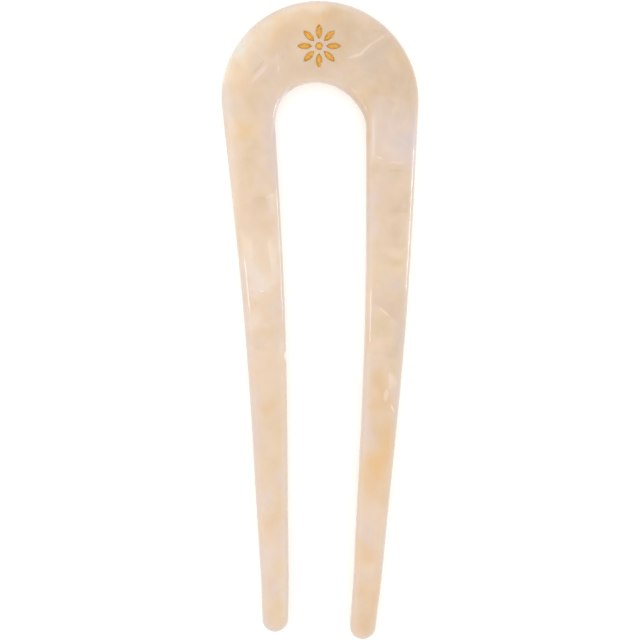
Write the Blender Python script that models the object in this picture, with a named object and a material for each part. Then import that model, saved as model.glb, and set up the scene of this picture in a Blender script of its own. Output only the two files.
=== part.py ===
"""A flat two-pronged hair pin of cellulose acetate, with a small gold rosette let into its crown.

The pin lies on its back: the face that it rests on is at z = 0 and its front face is up. +Y runs from the
tips to the crown, +X to the right of someone who looks at the front, and the origin is the middle of its
footprint. Until it is moved there, the outline is worked out from the top of the crown, where x and y are 0.
"""

import math

import bmesh
import bpy
import numpy as np

# Outline of the pin, in metres
LENGTH = 0.1295  # from the top of the crown down to the end of the right prong, the longer one
LEFT_SHORTFALL = 0.0015  # the left prong ends this much higher
CROWN_RADIUS = 0.0200  # outer curve of the crown
CROWN_BAND = 0.0166  # from the top of the crown down to the top of the arch
ARCH_RADIUS = 0.0092  # curve of the arch under the crown
TIP_RADIUS = 0.00264  # round end of a prong
TIP_SPREAD = 0.0178  # between the middles of the two round ends
TIP_LEAN = 0.0004  # the point half way between the tips lies this far to the right of the crown's middle
SIDE_BOW = 0.0011  # the whole pin bows this far to the right, half way down
ARCH_LEAN = 0.0008  # the arch's top leans this far to the left
TIP_HOOK = 0.0004  # both tips curl this far to the left
HOOK_LENGTH = 0.0140  # from the end of the right prong up to where the tips start to curl

# Section of the pin
THICKNESS = 0.0040  # sheet that the pin is sawn from
EDGE_RUN = 0.0017  # how far the rounding of an edge reaches in over a face
EDGE_DROP = 0.0015  # how far it reaches down the wall

# Gold rosette
ROSETTE_DEPTH = 0.0093  # its middle, below the top of the crown
ROSETTE_RADIUS = 0.0044  # out to the points of the leaves
STUD_RADIUS = 0.00075  # round stud in the middle
LEAF_WEB = 0.00070  # from the stud's edge to the inner points of the leaves
LEAF_WIDTH = 0.00124  # a leaf's widest part
LEAF_COUNT = 8
POCKET_DEPTH = 0.0007  # pockets in the front face that hold the gold
FIT_GAP = 0.00015  # clear space round and under each piece of gold
GOLD_RISE = 0.00018  # how far a leaf's ridge and the stud's dome stand above the front face

# Facets
CROWN_STEPS = 48
ARCH_STEPS = 32
TIP_STEPS = 16
SIDE_STEPS = 24  # along each side of a prong
EDGE_STEPS = 5  # over the rounding of an edge
LEAF_STEPS = 10  # along a leaf
STUD_STEPS = 28  # round the stud
DOME_STEPS = 4  # from the stud's rim to its top

# Finishes
ACETATE_COLOUR = "E8D0B8"
GOLD_COLOUR = "D9A441"

# Limits of the meshes
ROUNDING_SHARE = 0.45  # largest share of a wall that a rounding may take
PIN_CREASE = math.radians(35.0)  # edges that turn more than this stay sharp
GOLD_CREASE = math.radians(10.0)
MERGE_DISTANCE = 1e-6
FULL_TURN = 2.0 * math.pi


def linear_colour(text):
    """Turns an sRGB hex colour into the linear RGBA that a shader takes."""
    values = [int(text[k : k + 2], 16) / 255.0 for k in (0, 2, 4)]
    linear = [v / 12.92 if v <= 0.04045 else ((v + 0.055) / 1.055) ** 2.4 for v in values]
    return (*linear, 1.0)


def make_material(name, colour, roughness, metallic):
    """A plain Principled material."""
    material = bpy.data.materials.new(name)
    material.use_nodes = True
    shader = material.node_tree.nodes["Principled BSDF"]
    shader.inputs["Base Color"].default_value = linear_colour(colour)
    shader.inputs["Roughness"].default_value = roughness
    shader.inputs["Metallic"].default_value = metallic
    return material


def tip_centres():
    """Middles of the round ends, left and right."""
    left = np.array((TIP_LEAN - TIP_SPREAD / 2, TIP_RADIUS - LENGTH + LEFT_SHORTFALL))
    right = np.array((TIP_LEAN + TIP_SPREAD / 2, TIP_RADIUS - LENGTH))
    return left, right


def tangent_normal(near, near_radius, far, far_radius, side):
    """Unit normal of the line that touches two circles, on the right (side = 1) or left (side = -1) of near.

    A negative far_radius puts the far circle across the line from the near one.
    """
    gap = far - near
    distance = math.hypot(*gap)
    along = gap / distance
    across = side * np.array((-along[1], along[0]))
    lean = (near_radius - far_radius) / distance
    return lean * along + math.sqrt(1.0 - lean * lean) * across


def arc(centre, radius, start, end, steps):
    """Points of an arc from the angle start up to, but without, the angle end."""
    angles = np.linspace(start, end, steps, endpoint=False)
    return centre + radius * np.stack((np.cos(angles), np.sin(angles)), axis=1)


def line(start, end, steps):
    """Points of a straight side from start up to, but without, end."""
    shares = np.linspace(0.0, 1.0, steps, endpoint=False)[:, None]
    return start + shares * (end - start)


def swell(share):
    """Smooth rise from 0 to 1 as share goes from 0 to 1, level at both ends."""
    return np.sin(math.pi / 2 * np.clip(share, 0.0, 1.0)) ** 2


def bend_at(y):
    """Sideways shift of the pin at a height y: a bow to the right, most half way down, and the tips' curl."""
    bow = SIDE_BOW * swell(2.0 * np.minimum(-y, LENGTH + y) / LENGTH)
    return bow - TIP_HOOK * swell((HOOK_LENGTH - LENGTH - y) / HOOK_LENGTH)


def lean_at(y):
    """Sideways shift of the arch at a height y: nothing where it springs from the prongs, most at its top."""
    return -ARCH_LEAN * swell((y - arch_centre()[1]) / ARCH_RADIUS)


def outline(inset=0.0):
    """The pin's outline, anticlockwise seen from the front, moved into the material by inset.

    It runs over the crown, down the left side, round the left tip, up and over the arch, down to the right
    tip, round it and up the right side. Every side is a straight line that touches the curves at its ends.
    """
    crown, arch = crown_centre(), arch_centre()
    left_tip, right_tip = tip_centres()
    crown_radius, arch_radius = CROWN_RADIUS - inset, ARCH_RADIUS + inset
    tip_radius = TIP_RADIUS - inset

    out_left = tangent_normal(crown, crown_radius, left_tip, tip_radius, -1)
    out_right = tangent_normal(crown, crown_radius, right_tip, tip_radius, 1)
    in_left = tangent_normal(arch, arch_radius, left_tip, -tip_radius, -1)
    in_right = tangent_normal(arch, arch_radius, right_tip, -tip_radius, 1)

    angle = {
        "out_left": math.atan2(out_left[1], out_left[0]) % FULL_TURN,
        "out_right": math.atan2(out_right[1], out_right[0]),
        "in_left": math.atan2(in_left[1], in_left[0]) % FULL_TURN,
        "in_right": math.atan2(in_right[1], in_right[0]),
    }
    inner_side = np.concatenate((
        line(left_tip - tip_radius * in_left, arch + arch_radius * in_left, SIDE_STEPS),
        arc(arch, arch_radius, angle["in_left"], angle["in_right"], ARCH_STEPS),
        line(arch + arch_radius * in_right, right_tip - tip_radius * in_right, SIDE_STEPS),
    ))
    inner_side[:, 0] += lean_at(inner_side[:, 1])
    points = np.concatenate((
        arc(crown, crown_radius, angle["out_right"], angle["out_left"], CROWN_STEPS),
        line(crown + crown_radius * out_left, left_tip + tip_radius * out_left, SIDE_STEPS),
        arc(left_tip, tip_radius, angle["out_left"], angle["in_left"] + math.pi, TIP_STEPS),
        inner_side,
        arc(right_tip, tip_radius, angle["in_right"] + math.pi, angle["out_right"] + FULL_TURN, TIP_STEPS),
        line(right_tip + tip_radius * out_right, crown + crown_radius * out_right, SIDE_STEPS),
    ))
    points[:, 0] += bend_at(points[:, 1])
    return points


def crown_centre():
    """Middle of the crown's outer curve."""
    return np.array((0.0, -CROWN_RADIUS))


def arch_centre():
    """Middle of the arch's curve, lower than the crown's, which makes the band deepest at the top."""
    return np.array((0.0, -CROWN_BAND - ARCH_RADIUS))


def footprint_middle():
    """Middle of the outline's box, which becomes the origin."""
    points = outline()
    return (points.min(axis=0) + points.max(axis=0)) / 2


def rosette_place():
    """Middle of the rosette on the front face, from the origin."""
    place = np.array((bend_at(-ROSETTE_DEPTH), -ROSETTE_DEPTH)) - footprint_middle()
    return (place[0], place[1], THICKNESS)


def edge_levels():
    """Pairs of inset and height, from the back face to the front: both edges are quarter ellipses."""
    run = min(EDGE_RUN, ROUNDING_SHARE * 2 * TIP_RADIUS)
    drop = min(EDGE_DROP, ROUNDING_SHARE * THICKNESS)
    angles = np.linspace(0.0, math.pi / 2, EDGE_STEPS + 1)
    insets = run * (1.0 - np.sin(angles))
    heights = drop * (1.0 - np.cos(angles))
    back = list(zip(insets, heights))
    front = [(inset, THICKNESS - height) for inset, height in reversed(back)]
    return back + front


def finish_mesh(name, bm, material, crease):
    """Turns a bmesh into a mesh with its normals out, smooth but for edges that turn more than crease."""
    bmesh.ops.recalc_face_normals(bm, faces=bm.faces)
    mesh = bpy.data.meshes.new(name)
    bm.to_mesh(mesh)
    bm.free()
    mesh.materials.append(material)
    mesh.shade_smooth()
    mesh.set_sharp_from_angle(angle=crease)
    return mesh


def link_object(name, data, parent=None):
    """Adds an object to the scene, under a parent where one is given."""
    thing = bpy.data.objects.new(name, data)
    bpy.context.scene.collection.objects.link(thing)
    thing.parent = parent
    return thing


def ring_of(bm, points, height):
    """A ring of vertices at one height."""
    return [bm.verts.new((x, y, height)) for x, y in points]


def join_rings(bm, lower, upper):
    """A band of quads between two rings of equal count."""
    for k in range(len(lower)):
        after = (k + 1) % len(lower)
        bm.faces.new((lower[k], lower[after], upper[after], upper[k]))


def make_pin(material):
    """The acetate pin: one ring of the outline for each level of the rounding, joined and capped."""
    middle = footprint_middle()
    bm = bmesh.new()
    rings = [ring_of(bm, outline(inset) - middle, height) for inset, height in edge_levels()]
    for lower, upper in zip(rings, rings[1:]):
        join_rings(bm, lower, upper)
    bm.faces.new(rings[0])
    bm.faces.new(rings[-1])
    return link_object("hair_pin", finish_mesh("hair_pin", bm, material, PIN_CREASE))


def leaf_shape(grow=0.0):
    """Stations along a leaf and its half width there: two equal arcs that meet in a point at each end.

    A leaf lies along +Y from the rosette's middle. grow moves both arcs outwards.
    """
    start = STUD_RADIUS + LEAF_WEB
    half_length = (ROSETTE_RADIUS - start) / 2
    half_width = LEAF_WIDTH / 2
    radius = (half_length**2 + half_width**2) / (2 * half_width)
    offset = radius - half_width
    widest = math.acos(offset / (radius + grow))
    angles = np.linspace(-widest, widest, LEAF_STEPS + 1)
    stations = start + half_length + (radius + grow) * np.sin(angles)
    widths = (radius + grow) * np.cos(angles) - offset
    return stations, widths


def leaf_outline(grow=0.0):
    """Closed outline of a leaf: out along its right side and back along its left one."""
    stations, widths = leaf_shape(grow)
    right = np.stack((widths[:-1], stations[:-1]), axis=1)
    left = np.stack((-widths[:0:-1], stations[:0:-1]), axis=1)
    return np.concatenate((right, left))


def circle(radius, steps):
    """Closed round outline about the rosette's middle."""
    return arc(np.zeros(2), radius, 0.0, FULL_TURN, steps)


def gold_floor():
    """Underside of the gold, below the front face."""
    return FIT_GAP - POCKET_DEPTH


def make_leaf_mesh(material):
    """One gold leaf: an upright wall from its underside to the front face and a roof with a ridge."""
    stations, widths = leaf_shape()
    points = leaf_outline()
    bm = bmesh.new()
    lower = ring_of(bm, points, gold_floor())
    rim = ring_of(bm, points, 0.0)
    join_rings(bm, lower, rim)
    bm.faces.new(lower)
    inner = slice(1, LEAF_STEPS)
    rises = GOLD_RISE * np.sqrt(widths[inner] / widths.max())
    ridge = [bm.verts.new((0.0, y, z)) for y, z in zip(stations[inner], rises)]
    spine = [rim[0]] + ridge + [rim[LEAF_STEPS]]
    right = rim[: LEAF_STEPS + 1]
    left = [rim[0]] + rim[: LEAF_STEPS - 1 : -1]
    for side in (right, left):
        for k in range(LEAF_STEPS):
            corners = [side[k], side[k + 1], spine[k + 1], spine[k]]
            bm.faces.new(list(dict.fromkeys(corners)))
    return finish_mesh("rosette_leaf", bm, material, GOLD_CREASE)


def make_stud(material, parent):
    """The round gold stud, turned from a profile: a flat underside, an upright wall and a low dome."""
    angles = np.linspace(0.0, math.pi / 2, DOME_STEPS + 1)
    profile = [(0.0, gold_floor()), (STUD_RADIUS, gold_floor())]
    profile += [(STUD_RADIUS * math.cos(a), GOLD_RISE * math.sin(a)) for a in angles]
    bm = bmesh.new()
    verts = [bm.verts.new((x, 0.0, z)) for x, z in profile]
    edges = [bm.edges.new(pair) for pair in zip(verts, verts[1:])]
    bmesh.ops.spin(
        bm,
        geom=verts + edges,
        cent=(0.0, 0.0, 0.0),
        axis=(0.0, 0.0, 1.0),
        angle=FULL_TURN,
        steps=STUD_STEPS,
        use_merge=True,
    )
    bmesh.ops.remove_doubles(bm, verts=bm.verts, dist=MERGE_DISTANCE)
    link_object("rosette_stud", finish_mesh("rosette_stud", bm, material, PIN_CREASE), parent)


def make_pockets(pin, material, parent):
    """Cuts a pocket into the front face for the stud and for each leaf."""
    bm = bmesh.new()
    cuts = [circle(STUD_RADIUS + FIT_GAP, STUD_STEPS)]
    for k in range(LEAF_COUNT):
        turn = FULL_TURN * k / LEAF_COUNT
        rotation = np.array(((math.cos(turn), math.sin(turn)), (-math.sin(turn), math.cos(turn))))
        cuts.append(leaf_outline(FIT_GAP) @ rotation)
    for points in cuts:
        lower = ring_of(bm, points, -POCKET_DEPTH)
        upper = ring_of(bm, points, POCKET_DEPTH)
        join_rings(bm, lower, upper)
        bm.faces.new(lower)
        bm.faces.new(upper)
    cutter = link_object("rosette_pockets", finish_mesh("rosette_pockets", bm, material, PIN_CREASE), parent)
    cutter.hide_render = True
    cutter.display_type = "WIRE"
    cut = pin.modifiers.new("pockets", "BOOLEAN")
    cut.operation = "DIFFERENCE"
    cut.solver = "EXACT"
    cut.object = cutter


def make_rosette(pin, pin_material, gold):
    """The gold stud with its leaves round it, on an empty in the middle of the crown's front face."""
    middle = link_object("rosette_middle", None)
    middle.location = rosette_place()
    make_stud(gold, middle)
    leaf_mesh = make_leaf_mesh(gold)
    for k in range(LEAF_COUNT):
        leaf = link_object(f"rosette_leaf_{k + 1}", leaf_mesh, middle)
        leaf.rotation_euler = (0.0, 0.0, FULL_TURN * k / LEAF_COUNT)
    make_pockets(pin, pin_material, middle)


def main():
    """Clears the scene and builds the pin."""
    for thing in list(bpy.data.objects):
        bpy.data.objects.remove(thing)
    acetate = make_material("acetate", ACETATE_COLOUR, roughness=0.25, metallic=0.0)
    gold = make_material("gold", GOLD_COLOUR, roughness=0.3, metallic=1.0)
    pin = make_pin(acetate)
    make_rosette(pin, acetate, gold)


main()
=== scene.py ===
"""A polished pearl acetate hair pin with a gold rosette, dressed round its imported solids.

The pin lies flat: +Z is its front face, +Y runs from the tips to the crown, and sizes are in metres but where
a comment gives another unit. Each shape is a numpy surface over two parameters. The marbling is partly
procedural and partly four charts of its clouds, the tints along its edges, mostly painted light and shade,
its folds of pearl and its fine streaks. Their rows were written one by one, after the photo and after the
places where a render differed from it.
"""

import math

import bmesh
import bpy
import numpy as np
from mathutils import Matrix, Vector


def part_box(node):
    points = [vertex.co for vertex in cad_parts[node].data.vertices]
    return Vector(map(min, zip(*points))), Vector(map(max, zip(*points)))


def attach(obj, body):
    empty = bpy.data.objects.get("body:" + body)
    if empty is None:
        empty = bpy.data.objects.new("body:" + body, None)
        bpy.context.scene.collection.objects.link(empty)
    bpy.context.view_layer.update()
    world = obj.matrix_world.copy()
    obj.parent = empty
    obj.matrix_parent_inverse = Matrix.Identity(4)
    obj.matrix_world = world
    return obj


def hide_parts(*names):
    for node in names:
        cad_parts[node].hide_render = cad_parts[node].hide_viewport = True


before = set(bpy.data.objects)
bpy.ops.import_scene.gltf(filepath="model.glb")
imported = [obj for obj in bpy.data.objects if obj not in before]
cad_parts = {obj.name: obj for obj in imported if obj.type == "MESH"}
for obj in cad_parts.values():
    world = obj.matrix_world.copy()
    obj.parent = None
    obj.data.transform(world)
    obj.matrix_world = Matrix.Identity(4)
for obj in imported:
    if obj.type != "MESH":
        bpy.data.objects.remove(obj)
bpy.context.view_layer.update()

bl_info = {
    "name": "Pearl acetate hair pin",
    "version": (1, 0, 0),
    "blender": (4, 5, 0),
    "location": "View3D > Sidebar > Hair pin",
    "description": "Builds a polished acetate hair pin with a gold rosette, and a studio to show it in",
    "category": "Add Mesh",
}

MM = 0.001
FULL_TURN = 2.0 * math.pi
MERGE_DISTANCE = 1e-7

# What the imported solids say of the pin: its box, the stud's box and that of the leaf that points at the crown
PIN_LOW, PIN_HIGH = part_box("hair_pin")
STUD_LOW, STUD_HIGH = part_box("rosette_stud")
LEAF_LOW, LEAF_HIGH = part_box("rosette_leaf_1")
LEAF_NODES = sorted(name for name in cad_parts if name.startswith("rosette_leaf_"))
PIN_LENGTH = PIN_HIGH.y - PIN_LOW.y
PIN_THICKNESS = PIN_HIGH.z - PIN_LOW.z
ROSETTE_X = (STUD_LOW.x + STUD_HIGH.x) / 2
ROSETTE_Y = (STUD_LOW.y + STUD_HIGH.y) / 2

# How finely the surfaces are divided, and beyond which angles their edges look sharp
TIP_STATIONS = 24
SIDE_STATIONS = 340
CROWN_STATIONS = 170
EDGE_STEPS = 7
FRONT_STEPS = 36
BACK_STEPS = 10
LEAF_STATIONS = 40
LEAF_STEPS = 24
STUD_STATIONS = 64
STUD_STEPS = 16
PIN_CREASE = math.radians(35.0)
GOLD_CREASE = math.radians(50.0)

# A leaf's section: its heights in proportion, places and widths as shares of its half width, and the powers
# that let the top fall away at the edge and sink towards the points
HOLLOW_HEIGHT = 0.42
RIB_HEIGHT = 0.58
RIM_HEIGHT = 0.24
RIM_PLACE = 0.74
RIM_WIDTH = 0.16
EDGE_POWER = 6
POINT_POWER = 0.6

# The stud's dome and its groove, as shares of its rise and radius
DOME_POWER = 0.7
GROOVE_DEPTH = 0.45
GROOVE_PLACE = 0.7
GROOVE_WIDTH = 0.07

# How charted marks fade: the power that flattens a cloud's top, where folds and streaks are full and where
# they end as shares of their half sizes, and where a fold's crisp edge starts and ends, in millimetres. A
# streak has no end in depth.
CLOUD_POWER = 1.2
FOLD_FULL, FOLD_END = 0.6, 1.15
FOLD_RISE = (-0.06, 0.12)
STREAK_FULL, STREAK_END = 0.45, 1.1
STREAK_DEPTH = 1000.0

# Random tints of the sheet, each over those before it: how wide its clouds are in millimetres, how fine their
# detail goes, which stretch of the noise they show, and the values between which they grow to their cover
MOTTLE_COLUMNS = ("tint", "wave", "detail", "seed", "start", "end", "cover")
MOTTLES = (
    ("shell", 14.0, 3.0, 0.0, 0.38, 0.62, 1.0),
    ("olive", 4.5, 2.5, 11.0, 0.52, 0.72, 0.5),
    ("lilac", 3.6, 2.5, 47.0, 0.52, 0.72, 0.5),
    ("rose", 4.0, 2.5, 83.0, 0.52, 0.72, 0.5),
)

# Painted light and shade of the rounded edges, a paler verge and a darker rim, and the depths under the front
# face between which they grow to their cover
DEPTH_COLUMNS = ("tint", "start", "end", "cover")
ROUNDING_LIGHT_AND_SHADE = (
    ("verge", 0.03, 0.17, 0.25),
    ("rim", 0.17, 0.80, 0.60),
)

# The marbling's other sizes, in millimetres: how the whole wanders, the noise that frays the charted clouds,
# strands of pearl and how far they are squeezed to draw them out, and the depths between which the edge
# tints, folds and streaks fade
WANDER_WAVE = 8.0
WANDER_REACH = 3.0
FRAY_WAVE = 2.4
STRANDS_PER_MM = 0.9
STRAND_SQUEEZE = 0.15
FADE_START, FADE_END = 1.0, 3.0

# Light bends in acetate as it does in most clear plastics
ACETATE_IOR = 1.48

# The table top, in metres, and the width of the camera's film in millimetres
TABLE_HALF_WIDTH = 1.5
TABLE_DROP = 0.00002
FILM_WIDTH = 36.0

# Mix node sockets for colours
MIX_A, MIX_B, MIX_RESULT = 6, 7, 2

# Waves that drift the clouds: which way each moves them and how far, over how many millimetres across and
# along the pin its angle grows by one radian, and the angle in the pin's middle
DRIFT_COLUMNS = ("axis", "reach", "across", "along", "angle")
DRIFT_WAVES = (
    ("x", 0.55, math.inf, 1.7, 0.8),
    ("x", 0.30, 1.3, 0.9, 0.0),
    ("y", 0.70, 1.5, 4.1, 0.0),
    ("y", 0.40, 0.8, math.inf, 2.0),
)

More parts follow.
